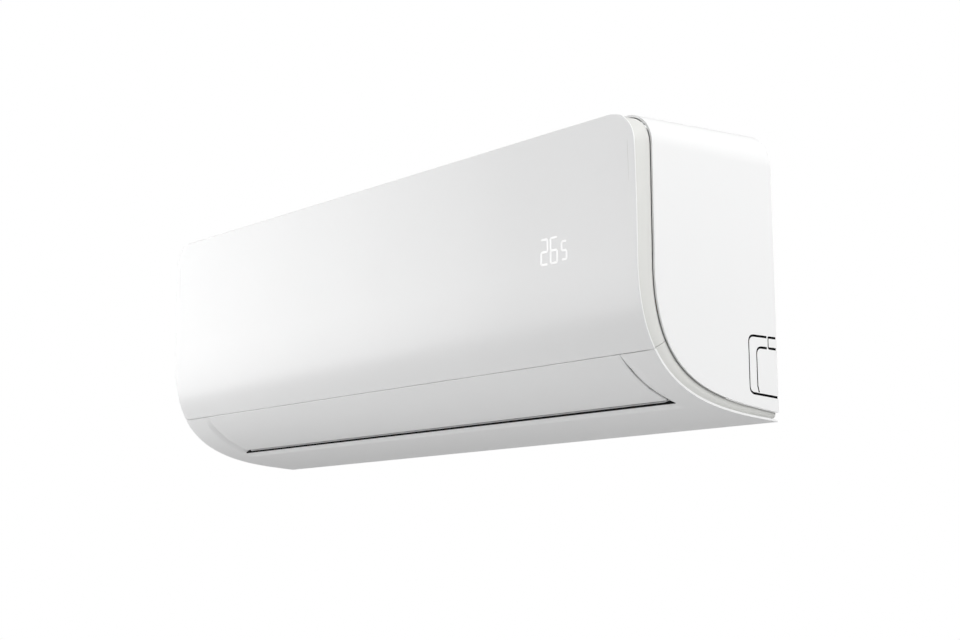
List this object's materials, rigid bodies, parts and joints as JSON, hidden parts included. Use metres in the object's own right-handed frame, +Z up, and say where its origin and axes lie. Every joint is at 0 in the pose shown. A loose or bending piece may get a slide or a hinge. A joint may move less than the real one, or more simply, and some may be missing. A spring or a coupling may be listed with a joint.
{
  "type": "mini split indoor unit",
  "caption": "Wall-hung mini split indoor unit with a curved lift-up front panel, swinging louver, vanes, cross-flow fan, coil, filters and pipe tails.",
  "frame": {"origin": "middle of the mounting plate's back face, where it rests on the wall", "axes": "+X to the unit's right seen from the room, +Y into the wall, +Z up; the front looks along -Y"},
  "size_m": [0.965, 0.2115, 0.325],
  "materials": {
    "white_shell": "satin white moulding",
    "inner_white": "matt off-white moulding",
    "vane": "matt light grey moulding",
    "hose": "ribbed matt off-white",
    "filter_grey": "matt grey net",
    "fan_black": "matt black",
    "relay_grey": "matt grey",
    "board": "green coated board",
    "zinc": "galvanised sheet",
    "steel": "plain steel",
    "fin_aluminium": "fine fins",
    "copper": "drawn copper",
    "brass": "turned brass",
    "rubber": "matt black rubber",
    "foam": "closed-cell foam"
  },
  "bodies": {
    "unit": {"mounting_plate": "zinc", "chassis": "inner_white", "casing": "white_shell", "front_frame": "white_shell", "louver_motor": "steel", "fan_bearing": "rubber", "fan_motor": "zinc", "motor_clamp": "inner_white", "coil_front": "fin_aluminium", "coil_upper": "fin_aluminium", "coil_rear": "fin_aluminium", "coil_end_left": "copper", "coil_end_right": "copper", "drain_pan": "inner_white", "drain_hose": "hose", "gas_pipe": "copper", "gas_sleeve": "foam", "gas_nut": "brass", "liquid_pipe": "copper", "liquid_sleeve": "foam", "liquid_nut": "brass", "pipe_cover": "inner_white", "control_box": "inner_white", "control_box_cover": "zinc", "control_board": "board", "terminal_block": "inner_white", "capacitor": "relay_grey", "transformer": "steel", "button_switch": "relay_grey", "air_sensor": "relay_grey", "frame_screw_1": "steel", "frame_screw_2": "steel", "frame_screw_3": "steel"},
    "panel": {"front_panel": "white_shell", "display_board": "inner_white"},
    "louver": {"louver": "white_shell"},
    "fan": {"fan_wheel": "fan_black", "fan_shaft": "steel"},
    "filter_left": {"filter_left": "filter_grey"},
    "filter_right": {"filter_right": "filter_grey"},
    "button": {"manual_button": "white_shell"},
    "vane_left_1": {"vane_left_1": "vane"},
    "vane_left_2": {"vane_left_2": "vane"},
    "vane_left_3": {"vane_left_3": "vane"},
    "vane_left_4": {"vane_left_4": "vane"},
    "vane_left_5": {"vane_left_5": "vane"},
    "vane_right_1": {"vane_right_1": "vane"},
    "vane_right_2": {"vane_right_2": "vane"},
    "vane_right_3": {"vane_right_3": "vane"},
    "vane_right_4": {"vane_right_4": "vane"},
    "vane_right_5": {"vane_right_5": "vane"},
    "link_left": {"vane_link_left": "vane"},
    "link_right": {"vane_link_right": "vane"}
  },
  "joints": [
    {"name": "panel_hinge", "type": "hinge", "parent": "unit", "child": "panel", "pos_m": [0, -0.19, 0.112], "axis": [-1, 0, 0], "range_deg": [0, 60]},
    {"name": "louver_swing", "type": "hinge", "parent": "unit", "child": "louver", "pos_m": [0, -0.14, -0.142], "axis": [1, 0, 0], "range_deg": [0, 80]},
    {"name": "fan_spin", "type": "hinge", "parent": "unit", "child": "fan", "pos_m": [0, -0.096, -0.05], "axis": [1, 0, 0], "continuous": true},
    {"name": "filter_left_lift", "type": "slide", "parent": "unit", "child": "filter_left", "axis": [0, 0, 1], "range_m": [0, 0.008]},
    {"name": "filter_right_lift", "type": "slide", "parent": "unit", "child": "filter_right", "axis": [0, 0, 1], "range_m": [0, 0.008]},
    {"name": "manual_button_press", "type": "slide", "parent": "unit", "child": "button", "axis": [0, 1, 0], "range_m": [0, 0.0012], "stiffness_N_per_m": 300, "springref_m": -0.002},
    {"name": "vane_left_1_swing", "type": "hinge", "parent": "unit", "child": "vane_left_1", "pos_m": [-0.365, -0.06751, -0.11932], "axis": [0, -0.7344, 0.6787], "range_deg": [-35, 35]},
    {"name": "vane_left_2_swing", "type": "hinge", "parent": "unit", "child": "vane_left_2", "pos_m": [-0.283, -0.06751, -0.11932], "axis": [0, -0.7344, 0.6787], "range_deg": [-35, 35]},
    {"name": "vane_left_3_swing", "type": "hinge", "parent": "unit", "child": "vane_left_3", "pos_m": [-0.201, -0.06751, -0.11932], "axis": [0, -0.7344, 0.6787], "range_deg": [-35, 35]},
    {"name": "vane_left_4_swing", "type": "hinge", "parent": "unit", "child": "vane_left_4", "pos_m": [-0.119, -0.06751, -0.11932], "axis": [0, -0.7344, 0.6787], "range_deg": [-35, 35]},
    {"name": "vane_left_5_swing", "type": "hinge", "parent": "unit", "child": "vane_left_5", "pos_m": [-0.037, -0.06751, -0.11932], "axis": [0, -0.7344, 0.6787], "range_deg": [-35, 35]},
    {"name": "vane_right_1_swing", "type": "hinge", "parent": "unit", "child": "vane_right_1", "pos_m": [0.045, -0.06751, -0.11932], "axis": [0, -0.7344, 0.6787], "range_deg": [-35, 35]},
    {"name": "vane_right_2_swing", "type": "hinge", "parent": "unit", "child": "vane_right_2", "pos_m": [0.127, -0.06751, -0.11932], "axis": [0, -0.7344, 0.6787], "range_deg": [-35, 35]},
    {"name": "vane_right_3_swing", "type": "hinge", "parent": "unit", "child": "vane_right_3", "pos_m": [0.209, -0.06751, -0.11932], "axis": [0, -0.7344, 0.6787], "range_deg": [-35, 35]},
    {"name": "vane_right_4_swing", "type": "hinge", "parent": "unit", "child": "vane_right_4", "pos_m": [0.291, -0.06751, -0.11932], "axis": [0, -0.7344, 0.6787], "range_deg": [-35, 35]},
    {"name": "vane_right_5_swing", "type": "hinge", "parent": "unit", "child": "vane_right_5", "pos_m": [0.373, -0.06751, -0.11932], "axis": [0, -0.7344, 0.6787], "range_deg": [-35, 35]},
    {"name": "link_left_pivot", "type": "hinge", "parent": "vane_left_1", "child": "link_left", "pos_m": [-0.365, -0.07566, -0.12813], "axis": [0, -0.7344, 0.6787], "range_deg": [-35, 35]},
    {"name": "link_right_pivot", "type": "hinge", "parent": "vane_right_1", "child": "link_right", "pos_m": [0.045, -0.07566, -0.12813], "axis": [0, -0.7344, 0.6787], "range_deg": [-35, 35]}
  ],
  "couplings": [
    {"joint": "vane_left_2_swing", "follows": "vane_left_1_swing", "ratio": 1},
    {"joint": "vane_left_3_swing", "follows": "vane_left_1_swing", "ratio": 1},
    {"joint": "vane_left_4_swing", "follows": "vane_left_1_swing", "ratio": 1},
    {"joint": "vane_left_5_swing", "follows": "vane_left_1_swing", "ratio": 1},
    {"joint": "link_left_pivot", "follows": "vane_left_1_swing", "ratio": -1},
    {"joint": "vane_right_2_swing", "follows": "vane_right_1_swing", "ratio": 1},
    {"joint": "vane_right_3_swing", "follows": "vane_right_1_swing", "ratio": 1},
    {"joint": "vane_right_4_swing", "follows": "vane_right_1_swing", "ratio": 1},
    {"joint": "vane_right_5_swing", "follows": "vane_right_1_swing", "ratio": 1},
    {"joint": "link_right_pivot", "follows": "vane_right_1_swing", "ratio": -1}
  ]
}
